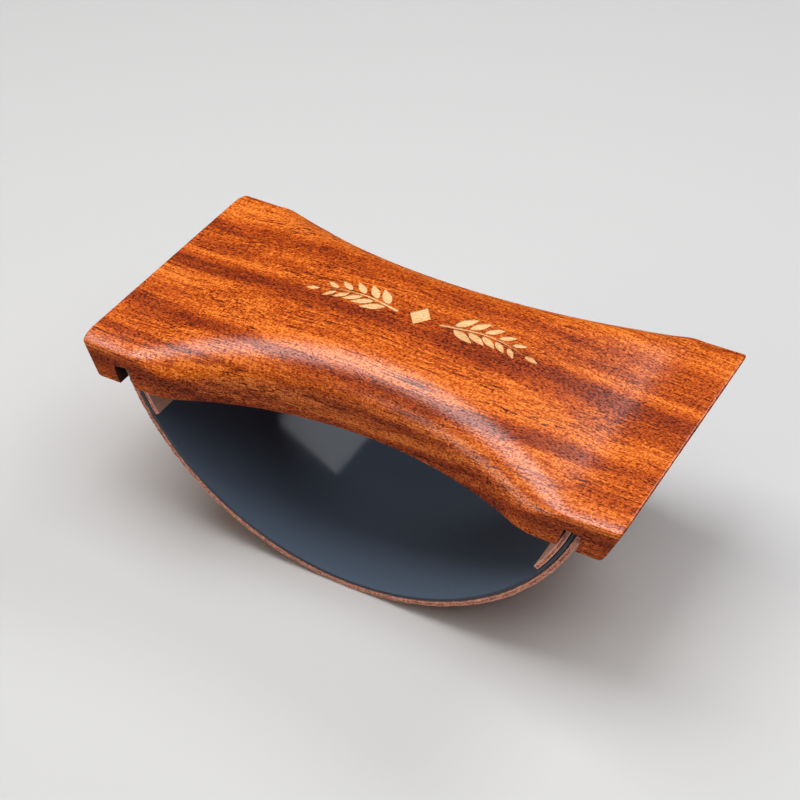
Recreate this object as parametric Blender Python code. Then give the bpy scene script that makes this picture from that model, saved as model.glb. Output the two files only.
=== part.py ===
"""Rocker blotter, modelled as the separate pieces it comes apart into.

A waisted hardwood handle has a slanted groove across its underside near each end. A curved
spring sheet with a leather facing outside springs into both grooves, and a short leather tab
lines the inside of each of its ends. The whole band can be slid out of the grooves along Y.

Metres, +Z up, X along the handle. The origin is where the leather rests on the desk.
"""

import math

import bmesh
import bpy
from mathutils import Vector

# Handle: a block whose waist and crowned top run out into two straight, flat ends
HANDLE_LENGTH = 0.152
HANDLE_WIDTH = 0.0786            # across the straight ends
END_THICKNESS = 0.011
UNDERSIDE_HEIGHT = 0.0442        # the flat underside above the desk
WAIST_DEPTH = 0.0123             # each side draws in this much at the middle
WAIST_RADIUS = 0.110
WAIST_BLEND_RADIUS = 0.020
CROWN_RISE = 0.0067              # the middle of the top stands this far above its ends
CROWN_RADIUS = 0.287
CROWN_BLEND_RADIUS = 0.040
ROUND_ACROSS_MIDDLE = 0.0130     # the top's long edges: how far they round across the top
ROUND_ACROSS_END = 0.0060
ROUND_ACROSS_START = 0.057       # distance from the middle where that starts to shrink
ROUND_DOWN_MIDDLE = 0.0093       # and how far they round down the wall
ROUND_DOWN_END = 0.0015
ROUND_DOWN_START = 0.0475
ROUND_DOWN_STOP = 0.0625
CORNER_RADIUS = 0.0010           # upright corners
END_EDGE_RADIUS = 0.0008         # top and bottom edges of the end faces
UNDERCUT = math.radians(24.0)    # the end faces lean in towards the underside
UNDERCUT_RUN = 0.008             # length over which the sides take up that lean

# Band: layers on one common axis, listed from the outside in
BAND_RADIUS = 0.0686
BAND_WIDTH = 0.0724
FACING_THICKNESS = 0.0014
SHEET_THICKNESS = 0.0008
TAB_THICKNESS = 0.0012
RIGHT_TAB_LENGTH = 0.0205
LEFT_TAB_LENGTH = 0.0160
GAP = 0.0003

# Grooves that hold the band's ends
GROOVE_DEPTH = 0.0055
GROOVE_LEAN = math.radians(16.0) # outwards from upright, going up

# How finely curves are divided
WAIST_STEPS = 76
CORNER_STEPS = 8
ROUNDOVER_STEPS = 9
BAND_STEPS = 96
TAB_STEPS = 12

# Worked out from the above
END_TOP_HEIGHT = UNDERSIDE_HEIGHT + END_THICKNESS
SHEET_RADIUS = BAND_RADIUS - FACING_THICKNESS - GAP
TAB_RADIUS = SHEET_RADIUS - SHEET_THICKNESS - GAP
STACK_THICKNESS = BAND_RADIUS - TAB_RADIUS + TAB_THICKNESS
STACK_RADIUS = BAND_RADIUS - STACK_THICKNESS / 2
GROOVE_WIDTH = STACK_THICKNESS + 2 * GAP
GROOVE_ANGLE = math.acos((BAND_RADIUS - UNDERSIDE_HEIGHT - GROOVE_DEPTH / 2) / STACK_RADIUS)
BAND_ANGLE = GROOVE_ANGLE + (GROOVE_DEPTH / 2 - GAP) / STACK_RADIUS
RIGHT_TAB_ANGLE = BAND_ANGLE - RIGHT_TAB_LENGTH / TAB_RADIUS
LEFT_TAB_ANGLE = BAND_ANGLE - LEFT_TAB_LENGTH / TAB_RADIUS


def clear_scene():
    """Remove every object, so that the script gives the same result in any file."""
    for item in list(bpy.data.objects):
        bpy.data.objects.remove(item, do_unlink=True)


def principled(name, colour, roughness, coat=0.0):
    """A plain material with a base colour in linear RGB."""
    material = bpy.data.materials.new(name)
    material.use_nodes = True
    shader = material.node_tree.nodes["Principled BSDF"]
    shader.inputs["Base Color"].default_value = (*colour, 1.0)
    shader.inputs["Roughness"].default_value = roughness
    shader.inputs["Metallic"].default_value = 0.0
    shader.inputs["Coat Weight"].default_value = coat
    return material


def add_object(name, mesh, material=None, parent=None):
    """Link an object that carries the mesh, the material and the parent it is given."""
    item = bpy.data.objects.new(name, mesh)
    bpy.context.scene.collection.objects.link(item)
    item.parent = parent
    if material:
        mesh.materials.append(material)
    return item


def finish_mesh(name, body, smooth_angle=30.0):
    """Turn a bmesh into a mesh whose faces point out and whose curves are shaded smooth."""
    bmesh.ops.recalc_face_normals(body, faces=body.faces)
    mesh = bpy.data.meshes.new(name)
    body.to_mesh(mesh)
    body.free()
    mesh.shade_smooth()
    mesh.set_sharp_from_angle(angle=math.radians(smooth_angle))
    return mesh


def loft(body, rings):
    """Join closed rings of points into a tube with a flat cap at each end."""
    loops = [[body.verts.new(point) for point in ring] for ring in rings]
    for near, far in zip(loops, loops[1:]):
        for i in range(len(near)):
            j = (i + 1) % len(near)
            body.faces.new((near[i], near[j], far[j], far[i]))
    body.faces.new(reversed(loops[0]))
    body.faces.new(loops[-1])


def hump(distance, rise, radius, blend_radius):
    """Height of an arched hump at a distance from its middle, eased to zero by a reverse arc."""
    reach = math.sqrt(2 * (radius + blend_radius) * rise - rise**2)
    turn = reach * radius / (radius + blend_radius)
    if distance <= turn:
        return rise - radius + math.sqrt(radius**2 - distance**2)
    if distance < reach:
        return blend_radius - math.sqrt(blend_radius**2 - (reach - distance)**2)
    return 0.0


def ramp(value, start, stop):
    """Rise from 0 at start to 1 at stop, with level ends."""
    t = min(max((value - start) / (stop - start), 0.0), 1.0)
    return t * t * (3 - 2 * t)


def draw_in(distance, radius):
    """How far an edge of this radius has curved in at a distance from the handle's middle."""
    into = max(distance - (HANDLE_LENGTH / 2 - radius), 0.0)
    return radius - math.sqrt(max(radius**2 - into**2, 0.0))


def roundover(distance):
    """How far the top's long edges round across and down, at a distance from the middle."""
    share = ramp(distance, ROUND_ACROSS_START, HANDLE_LENGTH / 2)
    across = ROUND_ACROSS_MIDDLE + (ROUND_ACROSS_END - ROUND_ACROSS_MIDDLE) * share
    share = ramp(distance, ROUND_DOWN_START, ROUND_DOWN_STOP)
    down = ROUND_DOWN_MIDDLE + (ROUND_DOWN_END - ROUND_DOWN_MIDDLE) * share
    return across, down


def side_profile(half_width, bottom, top, across, down):
    """One side of the cross-section: up the wall and over a quarter ellipse onto the top."""
    profile = [(half_width, bottom)]
    for step in range(ROUNDOVER_STEPS + 1):
        angle = math.pi / 2 * step / ROUNDOVER_STEPS
        y = half_width - across * (1 - math.cos(angle))
        z = top - down * (1 - math.sin(angle))
        profile.append((y, z))
    return profile


def handle_ring(x):
    """The handle's cross-section at a station, which leans with the undercut near the ends."""
    distance = abs(x)
    half_width = HANDLE_WIDTH / 2 - hump(distance, WAIST_DEPTH, WAIST_RADIUS, WAIST_BLEND_RADIUS)
    easing = draw_in(distance, END_EDGE_RADIUS)
    top = END_TOP_HEIGHT + hump(distance, CROWN_RISE, CROWN_RADIUS, CROWN_BLEND_RADIUS) - easing
    bottom = UNDERSIDE_HEIGHT + easing
    half_width -= draw_in(distance, CORNER_RADIUS)
    side = side_profile(half_width, bottom, top, *roundover(distance))
    section = side + [(-y, z) for y, z in reversed(side)]

    undercut_start = HANDLE_LENGTH / 2 - UNDERCUT_RUN
    lean = math.tan(UNDERCUT) * max(distance - undercut_start, 0.0) / UNDERCUT_RUN
    lean = math.copysign(lean, x)
    pivot = END_TOP_HEIGHT - END_EDGE_RADIUS
    return [Vector((x + lean * (z - pivot), y, z)) for y, z in section]


def handle_stations():
    """Places along X where the handle's section is drawn, closer together round the corners."""
    straight = HANDLE_LENGTH / 2 - CORNER_RADIUS
    stations = [straight * (2 * step / WAIST_STEPS - 1) for step in range(WAIST_STEPS + 1)]
    for step in range(1, CORNER_STEPS + 1):
        x = straight + CORNER_RADIUS * math.sin(math.pi / 2 * step / CORNER_STEPS)
        stations += [x, -x]
    return sorted(stations)


def add_handle(material):
    """The wooden handle, with both grooves cut across its underside."""
    body = bmesh.new()
    loft(body, [handle_ring(x) for x in handle_stations()])
    handle = add_object("handle", finish_mesh("handle", body), material)
    for side, name in ((1, "right"), (-1, "left")):
        cut = handle.modifiers.new("groove_" + name, "BOOLEAN")
        cut.operation = "DIFFERENCE"
        cut.solver = "EXACT"
        cut.object = add_groove_cutter("groove_cutter_" + name, side)
    return handle


def add_groove_cutter(name, side):
    """A slanted bar whose upper face becomes the groove's floor, tangent to the band."""
    body = bmesh.new()
    bmesh.ops.create_cube(body, size=1.0)
    scale = Vector((GROOVE_WIDTH, HANDLE_WIDTH * 1.2, GROOVE_DEPTH * 2))
    bmesh.ops.scale(body, vec=scale, verts=body.verts)
    bmesh.ops.translate(body, vec=(0.0, 0.0, -GROOVE_DEPTH / 2), verts=body.verts)
    cutter = add_object(name, finish_mesh(name, body))
    x = STACK_RADIUS * math.sin(GROOVE_ANGLE)
    z = BAND_RADIUS - STACK_RADIUS * math.cos(GROOVE_ANGLE)
    cutter.location = (side * x, 0.0, z)
    cutter.rotation_euler = (0.0, side * GROOVE_LEAN, 0.0)
    cutter.hide_render = True
    cutter.display_type = "WIRE"
    return cutter


def add_layer(name, material, axis, radius, thickness, angles, steps):
    """A strip bent round the band's axis, between two angles from straight down."""
    start, stop = angles
    half = BAND_WIDTH / 2
    rings = []
    for step in range(steps + 1):
        angle = start + (stop - start) * step / steps
        outward = Vector((math.sin(angle), 0.0, -math.cos(angle)))
        corners = ((radius, -half), (radius, half), (radius - thickness, half), (radius - thickness, -half))
        rings.append([outward * r + Vector((0.0, y, 0.0)) for r, y in corners])
    body = bmesh.new()
    loft(body, rings)
    return add_object(name, finish_mesh(name, body), material, axis)


def build():
    """Make every piece of the blotter."""
    clear_scene()
    wood = principled("lacquered_hardwood", (0.56, 0.12, 0.02), 0.35, coat=0.4)
    leather = principled("tan_leather", (0.58, 0.27, 0.19), 0.75)
    plastic = principled("black_plastic", (0.012, 0.014, 0.020), 0.25)

    add_handle(wood)

    axis = bpy.data.objects.new("band_axis", None)
    bpy.context.scene.collection.objects.link(axis)
    axis.location = (0.0, 0.0, BAND_RADIUS)

    whole = (-BAND_ANGLE, BAND_ANGLE)
    right = (RIGHT_TAB_ANGLE, BAND_ANGLE)
    left = (-BAND_ANGLE, -LEFT_TAB_ANGLE)
    add_layer("leather_facing", leather, axis, BAND_RADIUS, FACING_THICKNESS, whole, BAND_STEPS)
    add_layer("spring_sheet", plastic, axis, SHEET_RADIUS, SHEET_THICKNESS, whole, BAND_STEPS)
    add_layer("inner_tab_right", leather, axis, TAB_RADIUS, TAB_THICKNESS, right, TAB_STEPS)
    add_layer("inner_tab_left", leather, axis, TAB_RADIUS, TAB_THICKNESS, left, TAB_STEPS)


build()
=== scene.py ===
"""Looks of the rocker blotter: a lacquered hardwood handle over a leather-faced spring sheet.

Every piece is rebuilt finely in the place its CAD node holds, in metres, and rides on that
node's body. The materials are procedural and work in the pieces' own coordinates.
"""

import math
from typing import NamedTuple

import bmesh
import bpy
from mathutils import Euler, Matrix, Vector, noise


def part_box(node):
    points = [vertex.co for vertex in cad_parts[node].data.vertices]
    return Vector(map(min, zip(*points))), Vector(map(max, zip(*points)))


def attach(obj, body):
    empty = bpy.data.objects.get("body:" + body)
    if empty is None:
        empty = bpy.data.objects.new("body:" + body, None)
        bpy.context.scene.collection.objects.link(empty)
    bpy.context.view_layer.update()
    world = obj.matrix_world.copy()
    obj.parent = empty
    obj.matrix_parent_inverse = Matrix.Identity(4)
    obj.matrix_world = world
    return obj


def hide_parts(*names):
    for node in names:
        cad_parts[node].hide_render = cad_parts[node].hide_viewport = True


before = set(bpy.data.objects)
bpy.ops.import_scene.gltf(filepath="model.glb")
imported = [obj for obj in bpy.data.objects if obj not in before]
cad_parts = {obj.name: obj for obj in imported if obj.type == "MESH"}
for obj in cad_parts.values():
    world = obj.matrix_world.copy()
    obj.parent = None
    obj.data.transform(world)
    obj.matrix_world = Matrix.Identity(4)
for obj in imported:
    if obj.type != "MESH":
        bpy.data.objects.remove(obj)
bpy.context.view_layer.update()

MM = 0.001

# Places and sizes that come from the frame
HANDLE_LOW, HANDLE_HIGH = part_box("handle")
FACING_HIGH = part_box("leather_facing")[1]
RIGHT_TAB_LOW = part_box("inner_tab_right")[0]
LEFT_TAB_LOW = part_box("inner_tab_left")[0]
HANDLE_WIDTH = HANDLE_HIGH.y - HANDLE_LOW.y
UNDERSIDE_HEIGHT = HANDLE_LOW.z
BAND_HALF_WIDTH = FACING_HIGH.y

# Handle, shaped as in the CAD apart from rounder edges round its underside
HANDLE_LENGTH = 0.152
CROWN_RISE = 0.0067
CROWN_RADIUS = 0.287
CROWN_BLEND_RADIUS = 0.040
END_TOP_HEIGHT = HANDLE_HIGH.z - CROWN_RISE
WAIST_DEPTH = 0.0123
WAIST_RADIUS = 0.110
WAIST_BLEND_RADIUS = 0.020
ROUND_ACROSS_MIDDLE = 0.0130
ROUND_ACROSS_END = 0.0060
ROUND_ACROSS_START = 0.057
ROUND_DOWN_MIDDLE = 0.0093
ROUND_DOWN_END = 0.0015
ROUND_DOWN_START = 0.0475
ROUND_DOWN_STOP = 0.0625
CORNER_RADIUS = 0.0010
END_EDGE_RADIUS = 0.0008
END_UNDERSIDE_RADIUS = 0.0020
UNDERSIDE_EDGE_RADIUS = 0.0004
UNDERCUT = math.radians(24.0)
UNDERCUT_RUN = 0.008

# Band: layers on one axis, from the outside in
BAND_RADIUS = 0.0686
FACING_THICKNESS = 0.0014
SHEET_THICKNESS = 0.0008
TAB_THICKNESS = 0.0012
LAYER_GAP = 0.0003
SHEET_RADIUS = BAND_RADIUS - FACING_THICKNESS - LAYER_GAP
TAB_RADIUS = SHEET_RADIUS - SHEET_THICKNESS - LAYER_GAP
STACK_RADIUS = (BAND_RADIUS + TAB_RADIUS - TAB_THICKNESS) / 2
BAND_ANGLE = math.acos((BAND_RADIUS - FACING_HIGH.z) / (BAND_RADIUS - FACING_THICKNESS))
RIGHT_TAB_ANGLE = math.acos((BAND_RADIUS - RIGHT_TAB_LOW.z) / TAB_RADIUS)
LEFT_TAB_ANGLE = math.acos((BAND_RADIUS - LEFT_TAB_LOW.z) / TAB_RADIUS)
FACING_ROUGHNESS = 0.00032       # how far the cut edges are frayed
TAB_ROUGHNESS = 0.00016

# Grooves
GROOVE_DEPTH = 0.0055
GROOVE_WIDTH = 0.0047            # a little wider than in the CAD, to clear the uneven leather
GROOVE_LEAN = math.radians(16.0)
GROOVE_FLOOR_TILT = math.radians(8.0)

# Engraved ornament on the handle's top
ENGRAVING_DEPTH = 0.0002
ORNAMENT_CENTRE_Y = 0.0035
LOZENGE_HALF_LENGTH = 0.003
LOZENGE_HALF_WIDTH = 0.004
STEM_START = 0.006
STEM_LENGTH = 0.023
STEM_BOW = 0.0016
STEM_WIDTH = 0.0009
LEAF_PAIRS = 5
FIRST_LEAF_STEP = 3              # steps along the stem
LEAF_SPACING = 4
LEAF_TURN = math.radians(38)
LEAF_OFFSET = 0.0011
LEAF_LENGTH = 0.0072             # of the first pair, and how much shorter each next pair is
LEAF_SHORTENING = 0.0007
LEAF_SLIMNESS = 0.36
TIP_LEAF_OFFSET = 0.0008
TIP_LEAF_LENGTH = 0.0042
TIP_LEAF_WIDTH = 0.0017

# How finely the meshes are divided
HANDLE_STEPS = 200
CORNER_STEPS = 10
ROUNDOVER_STEPS = 20
UNDERSIDE_EDGE_STEPS = 4
TOP_STEPS = 22
STEM_STEPS = 24
LEAF_STEPS = 14
EDGE_STEPS = 6
FACE_STEPS = 24
HANDLE_SHARP_ANGLE = math.radians(35)
BAND_SHARP_ANGLE = math.radians(50)

# Wood: dark ribbons by their middle and half width in millimetres across the top, and strength
DARK_RIBBONS = (
    (22.0, 4.5, 0.55), (13.5, 2.8, 0.4), (3.4, 4.2, 1.0), (-5.0, 1.6, 0.25), (-19.5, 3.6, 0.8),
    (-26.0, 1.4, 0.35), (-31.0, 2.0, 0.4), (-38.0, 1.5, 0.45), (-44.5, 3.0, 0.75),
)
LAYER_SLOPE = 1.0
RIBBON_DRIFT = 1.5
RIBBON_WAVER = 0.6
# darker towards the underside: partly darker wood, partly painted shade
LOWER_DARKENING_AND_SHADE = 0.28
LIGHT_WOOD_TONE = 0.90
DARK_WOOD_TONE = 0.36

# Colours, as linear red, green and blue
WOOD_TONES = (
    (0.0, (0.075, 0.008, 0.001)),
    (0.2, (0.145, 0.014, 0.001)),
    (0.35, (0.24, 0.025, 0.001)),
    (0.5, (0.36, 0.046, 0.001)),
    (0.67, (0.51, 0.080, 0.002)),
    (0.82, (0.66, 0.125, 0.006)),
    (1.0, (0.88, 0.235, 0.030)),
)
# painted shade: the grooves' bare wood is coloured near black for the shade that falls inside them
GROOVE_SHADE_TONES = ((0.0, (0.020, 0.006, 0.003)), (1.0, (0.075, 0.022, 0.009)))
ENGRAVED_TONES = ((0.0, (0.56, 0.28, 0.10)), (1.0, (0.84, 0.55, 0.26)))
SKIN_DARK = (0.50, 0.235, 0.155)
SKIN_LIGHT = (0.62, 0.32, 0.22)
# partly the paler flesh side, partly painted light on faces the handle shades
SKIN_PALE_AND_LIT = (0.98, 0.58, 0.47)
SKIN_PIT = (0.36, 0.15, 0.09)
CORE_DARK = (0.24, 0.075, 0.050)
CORE_LIGHT = (0.80, 0.34, 0.24)
EDGE_BORDER = (0.92, 0.44, 0.32)
# painted reflection and painted light: lighter and bluer than the bare black sheet, for what it reflects
# and where the handle shades it
SHEET_COLOUR_AND_REFLECTION = (0.087, 0.118, 0.166)
SHEET_DUST = (0.30, 0.30, 0.31)
SHEET_RIM = (0.075, 0.085, 0.11)
FLOOR_COLOUR = (0.60, 0.60, 0.60)
SKY_COLOUR = (0.80, 0.90, 1.0)
WHITE = (1.0, 1.0, 1.0)
WARM_WHITE = (1.0, 0.88, 0.76)

# Coat over the wood: thinner in open pores
COAT_ROUGHNESS = 0.32
COAT_IOR = 1.6
COAT_OVER_PORES = 0.35

# Lights: name, place, width and height, power and colour
LIGHTS = (
    ("overhead_core", (-0.22, 0.02, 0.78), (0.46, 0.60), 4.6, WHITE),
    ("overhead_wide", (0.27, -0.12, 0.78), (0.80, 0.80), 3.7, WHITE),
    ("window", (0.33, 0.74, 0.79), (0.50, 0.28), 3.3, WHITE),
    ("front_fill", (-0.95, -0.9, 0.45), (0.8, 0.6), 4.7, WARM_WHITE),
)
LIGHTS_AIM = Vector((0.0, 0.0, 0.03))
SKY_STRENGTH = 0.05
FLOOR_SIZE = 3.0
FLOOR_DROP = 0.0001

CAMERA_LENS = 89.4
CAMERA_AIM = Vector((-0.0070, 0.0058, 0.0300))
CAMERA_DISTANCE = 0.5307
CAMERA_AZIMUTH = math.radians(28.733)
CAMERA_ELEVATION = math.radians(38.747)
CAMERA_ROLL = math.radians(0.482)
CAMERA_CLIP_START = 0.01


# ---------------------------------------------------------------- curves

def hump(distance, rise, radius, blend_radius):
    """Height of an arched hump at a distance from its middle, eased to zero by a reverse arc."""
    reach = math.sqrt(2 * (radius + blend_radius) * rise - rise**2)
    turn = reach * radius / (radius + blend_radius)
    if distance <= turn:
        return rise - radius + math.sqrt(radius**2 - distance**2)
    if distance < reach:
        return blend_radius - math.sqrt(blend_radius**2 - (reach - distance)**2)
    return 0.0


def ramp(value, start, stop):
    """Rise from 0 at start to 1 at stop, with level ends."""
    t = min(max((value - start) / (stop - start), 0.0), 1.0)
    return t * t * (3 - 2 * t)


def draw_in(distance, radius):
    """How far an edge of this radius has curved in at a distance from the handle's middle."""
    into = max(distance - (HANDLE_LENGTH / 2 - radius), 0.0)
    return radius - math.sqrt(max(radius**2 - into**2, 0.0))


def crown_height(x):
    """Height of the handle's top along its middle."""
    return END_TOP_HEIGHT + hump(abs(x), CROWN_RISE, CROWN_RADIUS, CROWN_BLEND_RADIUS)


def roundover(distance):
    """How far the top's long edges round across and down, at a distance from the middle."""
    share = ramp(distance, ROUND_ACROSS_START, HANDLE_LENGTH / 2)
    across = ROUND_ACROSS_MIDDLE + (ROUND_ACROSS_END - ROUND_ACROSS_MIDDLE) * share
    share = ramp(distance, ROUND_DOWN_START, ROUND_DOWN_STOP)
    down = ROUND_DOWN_MIDDLE + (ROUND_DOWN_END - ROUND_DOWN_MIDDLE) * share
    return across, down


# ---------------------------------------------------------------- meshes

def loft(body, rings):
    """Join closed rings of points into a tube, with a flat cap at each end."""
    loops = [[body.verts.new(point) for point in ring] for ring in rings]
    for near, far in zip(loops, loops[1:]):
        for i in range(len(near)):
            j = (i + 1) % len(near)
            body.faces.new((near[i], near[j], far[j], far[i]))
    body.faces.new(reversed(loops[0]))
    body.faces.new(loops[-1])


def shade(mesh, sharp_angle):
    """Shade a mesh smooth, apart from edges sharper than an angle."""
    mesh.shade_smooth()
    mesh.set_sharp_from_angle(angle=sharp_angle)


def add_piece(name, body, materials, sharp_angle=HANDLE_SHARP_ANGLE):
    """Link a bmesh as an object whose faces point out and whose curves are shaded smooth."""
    bmesh.ops.recalc_face_normals(body, faces=body.faces)
    mesh = bpy.data.meshes.new(name)
    body.to_mesh(mesh)
    body.free()
    shade(mesh, sharp_angle)
    piece = bpy.data.objects.new(name, mesh)
    bpy.context.scene.collection.objects.link(piece)
    for material in materials:
        mesh.materials.append(material)
    return piece


def cut(piece, cutter):
    """Cut one closed shape out of a piece, bake that into its mesh and delete the cutter."""
    modifier = piece.modifiers.new("cut", "BOOLEAN")
    modifier.operation = "DIFFERENCE"
    modifier.solver = "EXACT"
    modifier.material_mode = "TRANSFER"
    modifier.object = cutter
    depsgraph = bpy.context.evaluated_depsgraph_get()
    mesh = bpy.data.meshes.new_from_object(piece.evaluated_get(depsgraph))
    mesh.name = piece.name
    piece.modifiers.clear()
    piece.data = mesh
    shade(mesh, HANDLE_SHARP_ANGLE)
    bpy.data.objects.remove(cutter, do_unlink=True)


def place_piece(piece, node, body):
    """Let a piece stand for a CAD node and ride on the node's body."""
    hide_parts(node)
    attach(piece, body)


# ---------------------------------------------------------------- handle

def side_profile(half_width, bottom, top, across, down):
    """One side of the cross-section: up the wall and over a quarter ellipse onto the top."""
    profile = []
    for step in range(UNDERSIDE_EDGE_STEPS):
        angle = math.pi / 2 * step / (UNDERSIDE_EDGE_STEPS - 1)
        y = half_width - UNDERSIDE_EDGE_RADIUS * (1 - math.sin(angle))
        z = bottom + UNDERSIDE_EDGE_RADIUS * (1 - math.cos(angle))
        profile.append((y, z))
    for step in range(ROUNDOVER_STEPS + 1):
        angle = math.pi / 2 * step / ROUNDOVER_STEPS
        y = half_width - across * (1 - math.cos(angle))
        z = top - down * (1 - math.sin(angle))
        profile.append((y, z))
    return profile


def handle_section(x):
    """The handle's upright cross-section at a station, as a loop of (y, z) points."""
    distance = abs(x)
    half_width = HANDLE_WIDTH / 2 - hump(distance, WAIST_DEPTH, WAIST_RADIUS, WAIST_BLEND_RADIUS)
    half_width -= draw_in(distance, CORNER_RADIUS)
    top = crown_height(x) - draw_in(distance, END_EDGE_RADIUS)
    bottom = UNDERSIDE_HEIGHT + draw_in(distance, END_UNDERSIDE_RADIUS)
    side = side_profile(half_width, bottom, top, *roundover(distance))
    edge = side[-1][0]
    across = [(edge * (1 - 2 * step / TOP_STEPS), top) for step in range(1, TOP_STEPS)]
    return side + across + [(-y, z) for y, z in reversed(side)]


def handle_ring(x):
    """The handle's cross-section at a station, which leans with the undercut near the ends."""
    undercut_start = HANDLE_LENGTH / 2 - UNDERCUT_RUN
    lean = math.tan(UNDERCUT) * max(abs(x) - undercut_start, 0.0) / UNDERCUT_RUN
    lean = math.copysign(lean, x)
    pivot = END_TOP_HEIGHT - END_EDGE_RADIUS
    return [Vector((x + lean * (z - pivot), y, z)) for y, z in handle_section(x)]


def handle_stations():
    """Places along X where the handle's section is drawn, closer together round the corners."""
    straight = HANDLE_LENGTH / 2 - CORNER_RADIUS
    stations = [straight * (2 * step / HANDLE_STEPS - 1) for step in range(HANDLE_STEPS + 1)]
    for step in range(1, CORNER_STEPS + 1):
        x = straight + CORNER_RADIUS * math.sin(math.pi / 2 * step / CORNER_STEPS)
        stations += [x, -x]
    return sorted(stations)


def groove_cutter(side, material):
    """A slanted bar whose sides lean with the band's end and whose top is the groove's floor."""
    height = UNDERSIDE_HEIGHT + GROOVE_DEPTH / 2
    centre = math.sqrt(STACK_RADIUS**2 - (BAND_RADIUS - height)**2)
    outline = []
    for edge, reach in ((1, 1), (-1, 1), (-1, -2), (1, -2)):
        across = edge * GROOVE_WIDTH / 2 / math.cos(GROOVE_LEAN)
        rise = reach * GROOVE_DEPTH / 2
        if reach > 0:
            rise -= across * math.tan(GROOVE_FLOOR_TILT)
        outline.append((side * (centre + across + rise * math.tan(GROOVE_LEAN)), height + rise))
    half = HANDLE_WIDTH * 0.6
    body = bmesh.new()
    loft(body, [[Vector((x, y, z)) for x, z in outline] for y in (-half, half)])
    return add_piece("groove_cutter", body, [material])


def make_handle(wood, engraved, groove_shade):
    """The wooden handle with its grooves and its engraved ornament."""
    body = bmesh.new()
    loft(body, [handle_ring(x) for x in handle_stations()])
    handle = add_piece("wooden_handle", body, [wood, engraved, groove_shade])
    # the groove walls take the cutter's material, which is painted near black as painted shade
    for side in (1, -1):
        cut(handle, groove_cutter(side, groove_shade))
    cut(handle, ornament_cutter(engraved))
    place_piece(handle, "handle", "handle")


# ---------------------------------------------------------------- ornament

def lozenge_outline():
    """The small lozenge in the middle."""
    tips = ((1, 0), (0, 1), (-1, 0), (0, -1))
    return [Vector((x * LOZENGE_HALF_LENGTH, y * LOZENGE_HALF_WIDTH)) for x, y in tips]


def stem_line(side):
    """Points along a gently bowed stem that runs outwards on one side."""
    line = []
    for step in range(STEM_STEPS + 1):
        t = step / STEM_STEPS
        x = side * (STEM_START + STEM_LENGTH * t)
        line.append(Vector((x, STEM_BOW * math.sin(math.pi * (t * 1.2 - 0.2)))))
    return line


def stem_outline(line):
    """A bar along a row of points, tapering to the far end."""
    left, right = [], []
    last = len(line) - 1
    for i, point in enumerate(line):
        ahead = line[min(i + 1, last)] - line[max(i - 1, 0)]
        half_width = STEM_WIDTH / 2 * (1 - 0.75 * i / last)
        aside = Vector((-ahead.y, ahead.x)).normalized() * half_width
        left.append(point + aside)
        right.append(point - aside)
    return left + right[::-1]


def leaf_outline(base, direction, length, width):
    """A pointed leaf that grows from its base."""
    along = Vector((math.cos(direction), math.sin(direction)))
    aside = Vector((-along.y, along.x))
    outline = []
    for side in (1, -1):
        for step in range(LEAF_STEPS):
            t = step / LEAF_STEPS
            if side < 0:
                t = 1 - t
            swell = width / 2 * math.sin(math.pi * t**0.8)
            outline.append(base + along * length * t + aside * side * swell)
    return outline


def sprig_outlines(side):
    """A stem with pairs of leaves that get shorter outwards, and one leaf at its tip."""
    line = stem_line(side)
    outlines = [stem_outline(line)]
    for pair in range(LEAF_PAIRS):
        step = FIRST_LEAF_STEP + LEAF_SPACING * pair
        heading = line[step + 1] - line[step]
        angle = math.atan2(heading.y, heading.x)
        length = LEAF_LENGTH - LEAF_SHORTENING * pair
        for turn in (LEAF_TURN, -LEAF_TURN):
            direction = angle + turn
            base = line[step] + Vector((math.cos(direction), math.sin(direction))) * LEAF_OFFSET
            outlines.append(leaf_outline(base, direction, length, length * LEAF_SLIMNESS))
    tip = line[-1] + (line[-1] - line[-2]).normalized() * TIP_LEAF_OFFSET
    outlines.append(leaf_outline(tip, angle, TIP_LEAF_LENGTH, TIP_LEAF_WIDTH))
    return outlines


def add_prism(body, outline):
    """Add a shallow prism over an outline, whose floor runs at an even depth below the crown."""
    prism = bmesh.new()
    rings = []
    for lift in (-ENGRAVING_DEPTH, ENGRAVING_DEPTH * 2):
        rings.append([Vector((p.x, p.y + ORNAMENT_CENTRE_Y, crown_height(p.x) + lift)) for p in outline])
    loft(prism, rings)
    bmesh.ops.triangulate(prism, faces=[f for f in prism.faces if len(f.verts) > 4])
    mesh = bpy.data.meshes.new("outline")
    prism.to_mesh(mesh)
    prism.free()
    body.from_mesh(mesh)
    bpy.data.meshes.remove(mesh)


def ornament_cutter(material):
    """A generic pair of leafy sprigs either side of a small lozenge, as one cutter."""
    body = bmesh.new()
    for outline in [lozenge_outline()] + sprig_outlines(1) + sprig_outlines(-1):
        add_prism(body, outline)
    return add_piece("ornament_cutter", body, [material])


# ---------------------------------------------------------------- band

class Layer(NamedTuple):
    """One bent strip: what it is called and made of, and where it lies."""

    name: str
    node: str
    slot: str
    material: bpy.types.Material
    radius: float
    thickness: float
    angles: tuple
    steps: int
    roughness: float
    seed: float


def waver(*where):
    """Smooth noise between -1 and 1 that changes over a distance of about one."""
    return noise.noise(Vector(where))


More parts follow.
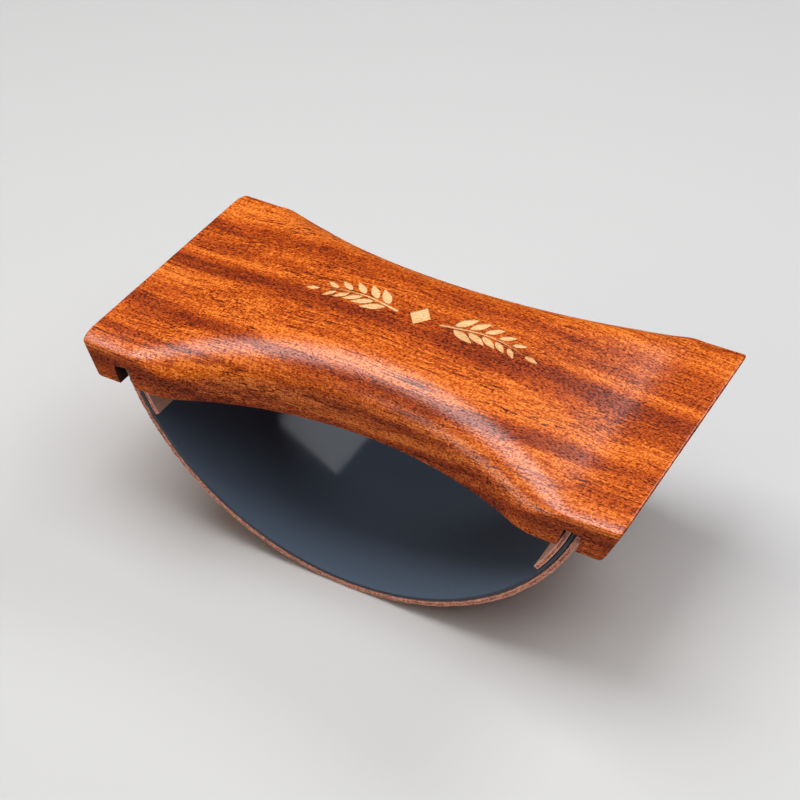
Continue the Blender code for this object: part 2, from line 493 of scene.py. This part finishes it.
def ragged_edge(layer, along, side):
    """A strip's cut edge on one side, from its inner face out, as (radius, y) points."""
    points = []
    for step in range(EDGE_STEPS + 1):
        depth = step / EDGE_STEPS
        radius = layer.radius - layer.thickness * (1 - depth)
        rim = max(0.0, abs(2 * depth - 1) * 4 - 3)
        coarse = waver(along * 0.35, layer.seed, side)
        fine = waver(along * 2.4, depth * 3, layer.seed + side)
        ragged = coarse * 0.8 + fine * 0.7 - rim * 0.9
        if rim > 0.99:
            fray = abs(waver(along * 2.1, layer.seed + 5 * depth, side * 3)) * layer.roughness
            radius += fray if depth > 0.5 else -fray * 0.5
        points.append((radius, side * (BAND_HALF_WIDTH + layer.roughness * ragged)))
    return points


def uneven_face(layer, along, radius):
    """A strip's face at a radius, from the -Y edge to the +Y edge, as (radius, y) points."""
    points = []
    for step in range(1, FACE_STEPS):
        y = BAND_HALF_WIDTH * (2 * step / FACE_STEPS - 1)
        swell = waver(along * 0.12, y / MM * 0.12, layer.seed + radius * 900)
        points.append((radius + layer.roughness * 0.25 * swell, y))
    return points


def layer_ring(layer, angle):
    """A strip's cross-section at an angle from straight down, round all four sides."""
    along = angle * layer.radius / MM
    section = ragged_edge(layer, along, -1)
    section += uneven_face(layer, along, layer.radius)
    section += reversed(ragged_edge(layer, along, 1))
    section += reversed(uneven_face(layer, along, layer.radius - layer.thickness))
    outward = Vector((math.sin(angle), 0.0, -math.cos(angle)))
    return [outward * radius + Vector((0.0, y, BAND_RADIUS)) for radius, y in section]


def make_layer(layer):
    """A strip bent round the band's axis, in the place of its CAD node."""
    start, stop = layer.angles
    rings = []
    for step in range(layer.steps + 1):
        rings.append(layer_ring(layer, start + (stop - start) * step / layer.steps))
    body = bmesh.new()
    loft(body, rings)
    piece = add_piece(layer.name, body, [layer.material], BAND_SHARP_ANGLE)
    place_piece(piece, layer.node, "band")


def make_band():
    """The leather facing, the sheet inside it, and the two leather tabs inside that."""
    whole = (-BAND_ANGLE, BAND_ANGLE)
    right = (RIGHT_TAB_ANGLE, BAND_ANGLE)
    left = (-BAND_ANGLE, -LEFT_TAB_ANGLE)
    facing_leather = leather_material("facing_leather", BAND_RADIUS, FACING_THICKNESS, 0.0)
    # the tabs' paler faces are partly their flesh side and partly painted light
    tab_leather = leather_material("tab_leather", TAB_RADIUS, TAB_THICKNESS, 0.8)
    plastic = plastic_material()
    make_layer(Layer("facing", "leather_facing", "leather", facing_leather, BAND_RADIUS,
                     FACING_THICKNESS, whole, 900, FACING_ROUGHNESS, 3.0))
    make_layer(Layer("sheet", "spring_sheet", "black_plastic", plastic, SHEET_RADIUS,
                     SHEET_THICKNESS, whole, 300, 0.0, 0.0))
    make_layer(Layer("tab_right", "inner_tab_right", "leather", tab_leather, TAB_RADIUS,
                     TAB_THICKNESS, right, 90, TAB_ROUGHNESS, 11.0))
    make_layer(Layer("tab_left", "inner_tab_left", "leather", tab_leather, TAB_RADIUS,
                     TAB_THICKNESS, left, 70, TAB_ROUGHNESS, 17.0))


# ---------------------------------------------------------------- materials

class Graph:
    """A short way to write a material's nodes."""

    def __init__(self, name):
        self.material = bpy.data.materials.new(name)
        self.material.use_nodes = True
        self.tree = self.material.node_tree
        self.shader = self.tree.nodes["Principled BSDF"]

    def put(self, socket, value):
        """Link a socket to another one, or give it a plain value."""
        if isinstance(value, bpy.types.NodeSocket):
            self.tree.links.new(value, socket)
        else:
            socket.default_value = value

    def node(self, kind, inputs=(), **settings):
        """A node with its inputs and settings filled in."""
        made = self.tree.nodes.new(kind)
        for key, value in settings.items():
            setattr(made, key, value)
        for key, value in dict(inputs).items():
            self.put(made.inputs[key], value)
        return made

    def math(self, operation, a, b=0.0):
        return self.node("ShaderNodeMath", {0: a, 1: b}, operation=operation).outputs[0]

    def total(self, first, *others):
        for other in others:
            first = self.math("ADD", first, other)
        return first

    def product(self, first, *others):
        for other in others:
            first = self.math("MULTIPLY", first, other)
        return first

    def limit(self, value):
        """A value held between 0 and 1."""
        return self.math("MINIMUM", self.math("MAXIMUM", value, 0.0), 1.0)

    def remap(self, value, low, high, to_low=0.0, to_high=1.0, smooth=False):
        kind = "SMOOTHSTEP" if smooth else "LINEAR"
        inputs = {0: value, 1: low, 2: high, 3: to_low, 4: to_high}
        return self.node("ShaderNodeMapRange", inputs, interpolation_type=kind).outputs[0]

    def vector(self, operation, a, b=(0.0, 0.0, 0.0)):
        made = self.node("ShaderNodeVectorMath", {0: a, 1: b}, operation=operation)
        return made.outputs["Value" if operation in ("LENGTH", "DOT_PRODUCT") else "Vector"]

    def combine(self, x, y, z):
        return self.node("ShaderNodeCombineXYZ", {0: x, 1: y, 2: z}).outputs[0]

    def separate(self, vector):
        return self.node("ShaderNodeSeparateXYZ", {0: vector}).outputs

    def place(self):
        """Where the shaded point is on the piece, in millimetres."""
        coordinates = self.node("ShaderNodeTexCoord").outputs["Object"]
        return self.vector("MULTIPLY", coordinates, (1 / MM,) * 3)

    def noise(self, vector, scale, detail, roughness):
        inputs = {"Vector": vector, "Scale": scale, "Detail": detail, "Roughness": roughness}
        return self.node("ShaderNodeTexNoise", inputs).outputs["Fac"]

    def fibre_noise(self, where, along, across, detail=2.0, roughness=0.5, reach=1.0):
        """Noise from -reach to reach, with so many cells per millimetre along X and across it."""
        x, y, z = where
        stretched = self.combine(
            self.product(x, along), self.product(y, across), self.product(z, across))
        return self.remap(self.noise(stretched, 1.0, detail, roughness), 0.3, 0.7, -reach, reach)

    def colours(self, value, stops):
        """A colour ramp with a list of (position, colour) stops."""
        made = self.node("ShaderNodeValToRGB", {0: value})
        elements = made.color_ramp.elements
        while len(elements) < len(stops):
            elements.new(0.5)
        for element, (position, colour) in zip(elements, stops):
            element.position = position
            element.color = (*colour, 1.0)
        return made.outputs[0]

    def mix(self, factor, a, b):
        """A mix of two colours, from a at 0 to b at 1."""
        made = self.node("ShaderNodeMix", {0: factor}, data_type="RGBA")
        for socket, value in ((made.inputs[6], a), (made.inputs[7], b)):
            self.put(socket, value if isinstance(value, bpy.types.NodeSocket) else (*value, 1.0))
        return made.outputs[2]

    def bump(self, height, distance, strength):
        inputs = {"Height": height, "Distance": distance, "Strength": strength}
        self.put(self.shader.inputs["Normal"], self.node("ShaderNodeBump", inputs).outputs[0])

    def finish(self, **values):
        """Fill in the surface's inputs and return the material."""
        for key, value in values.items():
            self.put(self.shader.inputs[key.replace("_", " ")], value)
        return self.material


def growth_layer(graph, where):
    """Height in the growth layers, which slope through the block and waver a little.

    A ribbon on one layer moves over where the wood rises.
    """
    z = where[2]
    drift = graph.fibre_noise(where, 0.012, 0.03, detail=1.0, reach=RIBBON_DRIFT)
    wavering = graph.fibre_noise(where, 0.07, 0.05, detail=1.0, reach=RIBBON_WAVER)
    return graph.total(where[1], graph.product(z, LAYER_SLOPE), graph.total(drift, wavering))


def wood_darkness(graph, grain, height):
    """How dark the wood is, from 0 to 1: in clouds, in ribbons and towards the underside, where it is
    partly darker wood and partly painted shade.
    """
    layer = grain[1]
    dark = graph.remap(graph.fibre_noise(grain, 0.02, 0.15), -1.0, 1.0, -0.22, 0.38)
    for middle, half_width, strength in DARK_RIBBONS:
        away = graph.math("DIVIDE", graph.math("SUBTRACT", layer, middle), half_width)
        bell = graph.math("EXPONENT", graph.product(away, away, -1.0))
        dark = graph.total(dark, graph.product(bell, strength))
    # darker below the top: partly darker wood, partly painted shade
    return graph.limit(graph.total(dark, graph.remap(height, -2.0, -9.0, 0.0, LOWER_DARKENING_AND_SHADE)))


def wood_pattern(graph):
    """Tone of the wood from 0 (dark) to 1 (light), and how open its pores are."""
    x, y, z = graph.separate(graph.place())
    height = graph.math("SUBTRACT", z, END_TOP_HEIGHT / MM)
    layer = growth_layer(graph, (x, y, height))
    grain = (x, layer, graph.math("SUBTRACT", height, graph.product(y, 0.5)))
    dark = wood_darkness(graph, grain, height)

    # fibres that dive show as short dark dots, and fibres that lie flat as long thin lines
    dots = graph.fibre_noise(grain, 1.15, 2.6, roughness=0.6)
    pores = graph.remap(dots, -0.05, -0.75, smooth=True)
    patches = graph.remap(graph.fibre_noise(grain, 0.03, 0.2), -0.3, 0.5, smooth=True)
    lines = graph.remap(graph.fibre_noise(grain, 0.045, 1.8, roughness=0.6), -0.15, -0.70, smooth=True)
    ripple = graph.fibre_noise(grain, 2.4, 0.7, detail=1.0)
    streaks = graph.fibre_noise(grain, 0.035, 1.3, detail=3.0, roughness=0.6)

    tone = graph.remap(dark, 0.0, 1.0, LIGHT_WOOD_TONE, DARK_WOOD_TONE)
    for detail, in_light_wood, in_dark_wood in (
        (dots, 0.17, 0.28), (pores, -0.24, -0.42), (graph.product(lines, patches), -0.80, -0.15),
        (ripple, 0.18, 0.05), (streaks, 0.24, 0.14),
    ):
        share = graph.remap(dark, 0.0, 1.0, in_light_wood, in_dark_wood)
        tone = graph.total(tone, graph.product(detail, share))
    return graph.limit(tone), pores


def wood_material():
    """Red-brown ribbon-figured hardwood under a satin lacquer."""
    graph = Graph("ribbon_hardwood")
    tone, pores = wood_pattern(graph)
    graph.bump(graph.product(pores, -1.0), 0.03 * MM, 1.0)
    return graph.finish(
        Base_Color=graph.colours(tone, WOOD_TONES),
        Roughness=0.5,
        Specular_IOR_Level=0.0,
        Coat_Weight=graph.remap(pores, 0.0, 1.0, 1.0, COAT_OVER_PORES),
        Coat_Roughness=COAT_ROUGHNESS,
        Coat_IOR=COAT_IOR,
    )


def bare_wood_material(name, tones, roughness):
    """Wood without lacquer, in the same figure."""
    graph = Graph(name)
    tone, pores = wood_pattern(graph)
    return graph.finish(Base_Color=graph.colours(tone, tones), Roughness=roughness)


def leather_skin(graph, wrap, pits, pale_and_lit):
    """Colour of the leather's faces: mottled, pitted, and paler where asked, which is partly the paler
    flesh side and partly painted light.
    """
    mottled = graph.remap(graph.noise(wrap, 0.35, 3.0, 0.6), 0.3, 0.7)
    skin = graph.mix(pale_and_lit, graph.mix(mottled, SKIN_DARK, SKIN_LIGHT), SKIN_PALE_AND_LIT)
    return graph.mix(graph.remap(pits, 0.35, 0.65, 0.0, 0.35), skin, SKIN_PIT)


def leather_edge(graph, fibres, depth):
    """Colour of the raw cut edge: a fibrous core between two paler skins."""
    core = graph.mix(graph.remap(fibres, 0.42, 0.58), CORE_DARK, CORE_LIGHT)
    off_middle = graph.math("ABSOLUTE", graph.math("SUBTRACT", depth, 0.5))
    return graph.mix(graph.remap(off_middle, 0.18, 0.40, smooth=True), core, EDGE_BORDER)


def leather_material(name, outer_radius, thickness, pale_and_lit):
    """Tan leather of a bent strip, which knows its faces from its cut edges."""
    graph = Graph(name)
    x, y, z = graph.separate(graph.place())
    z = graph.math("SUBTRACT", z, BAND_RADIUS / MM)
    radial = graph.combine(x, 0.0, z)
    radius = graph.vector("LENGTH", radial)
    depth = graph.remap(radius, (outer_radius - thickness) / MM, outer_radius / MM)
    turn = graph.product(graph.math("ARCTAN2", x, graph.product(z, -1.0)), outer_radius / MM)

    normal = graph.node("ShaderNodeNewGeometry").outputs["True Normal"]
    facing = graph.vector("DOT_PRODUCT", normal, graph.vector("NORMALIZE", radial))
    face = graph.remap(graph.math("ABSOLUTE", facing), 0.55, 0.8, smooth=True)

    wrap = graph.combine(turn, y, radius)
    pits = graph.noise(wrap, 2.2, 3.0, 0.65)
    threads = graph.combine(graph.product(turn, 1.6), graph.product(y, 3.0), graph.product(depth, 3.0))
    fibres = graph.noise(threads, 1.0, 3.0, 0.7)
    fibres_on_edge = graph.product(fibres, graph.math("SUBTRACT", 1.0, face))
    graph.bump(graph.total(pits, fibres_on_edge), 0.12 * MM, 0.7)
    cut_edge = leather_edge(graph, fibres, depth)
    skin = leather_skin(graph, wrap, pits, pale_and_lit)
    return graph.finish(
        Base_Color=graph.mix(face, cut_edge, skin),
        Roughness=graph.remap(face, 0.0, 1.0, 0.92, 0.62),
    )


def plastic_material():
    """Smooth blue-black sheet, painted lighter and bluer than its own colour as painted reflection and
    painted light, with some dust and a duller, darker sawn rim.
    """
    graph = Graph("black_plastic")
    place = graph.place()
    off_middle = graph.math("ABSOLUTE", graph.separate(place)[1])
    rim = graph.remap(off_middle, BAND_HALF_WIDTH / MM - 0.06, BAND_HALF_WIDTH / MM - 0.02)
    haze = graph.noise(place, 0.06, 3.0, 0.6)
    dust = graph.remap(graph.noise(place, 1.6, 1.0, 0.4), 0.8, 0.84)
    colour = graph.mix(graph.product(dust, 0.5), SHEET_COLOUR_AND_REFLECTION, SHEET_DUST)
    roughness = graph.math("MAXIMUM", graph.remap(haze, 0.3, 0.7, 0.07, 0.12), graph.product(rim, 0.6))
    glance = graph.node("ShaderNodeLayerWeight", {"Blend": 0.5}).outputs["Facing"]
    return graph.finish(
        Base_Color=graph.mix(rim, colour, SHEET_RIM),
        Roughness=roughness,
        Specular_IOR_Level=graph.remap(glance, 0.30, 0.58, 0.08, 0.0),
    )


def floor_material():
    """Pale matt floor that is clear from below, so that the underside can be looked at."""
    graph = Graph("pale_floor")
    graph.finish(Base_Color=(*FLOOR_COLOUR, 1.0), Roughness=0.7)
    clear = graph.node("ShaderNodeBsdfTransparent").outputs[0]
    below = graph.node("ShaderNodeNewGeometry").outputs["Backfacing"]
    both = graph.node("ShaderNodeMixShader", {0: below, 1: graph.shader.outputs[0], 2: clear})
    graph.put(graph.tree.nodes["Material Output"].inputs["Surface"], both.outputs[0])
    return graph.material


# ---------------------------------------------------------------- stage

def add_floor():
    """A wide floor that is left out of reflections, so that it puts no veil on the lacquer."""
    body = bmesh.new()
    bmesh.ops.create_grid(body, x_segments=1, y_segments=1, size=FLOOR_SIZE)
    floor = add_piece("floor", body, [floor_material()])
    floor.location.z = -FLOOR_DROP
    floor.visible_glossy = False


def add_light(name, place, size, power, colour):
    """A soft rectangular light that faces the blotter."""
    data = bpy.data.lights.new(name, "AREA")
    data.shape = "RECTANGLE"
    data.size, data.size_y = size
    data.energy = power
    data.color = colour
    light = bpy.data.objects.new(name, data)
    bpy.context.scene.collection.objects.link(light)
    light.location = place
    light.rotation_euler = (LIGHTS_AIM - Vector(place)).to_track_quat("-Z", "Y").to_euler()


def set_world():
    """Faint even light from all round."""
    world = bpy.data.worlds.new("studio")
    bpy.context.scene.world = world
    world.use_nodes = True
    background = world.node_tree.nodes["Background"]
    background.inputs["Color"].default_value = (*SKY_COLOUR, 1.0)
    background.inputs["Strength"].default_value = SKY_STRENGTH


def add_camera():
    """The camera, which looks down on the right front corner."""
    data = bpy.data.cameras.new("camera")
    data.lens = CAMERA_LENS
    data.clip_start = CAMERA_CLIP_START
    camera = bpy.data.objects.new("camera", data)
    bpy.context.scene.collection.objects.link(camera)
    turn = Euler((math.pi / 2 - CAMERA_ELEVATION, 0.0, CAMERA_AZIMUTH)).to_matrix()
    turn = turn @ Matrix.Rotation(CAMERA_ROLL, 3, "Z")
    camera.location = CAMERA_AIM + turn.col[2] * CAMERA_DISTANCE
    camera.rotation_euler = turn.to_euler()
    bpy.context.scene.camera = camera


# ---------------------------------------------------------------- build

make_handle(
    wood_material(),
    bare_wood_material("engraved_wood", ENGRAVED_TONES, 0.8),
    # the grooves' bare wood, painted near black as painted shade
    bare_wood_material("groove_shade_wood", GROOVE_SHADE_TONES, 0.9),
)
make_band()

add_floor()
set_world()
for settings in LIGHTS:
    add_light(*settings)
add_camera()
bpy.context.scene.view_settings.view_transform = "Standard"
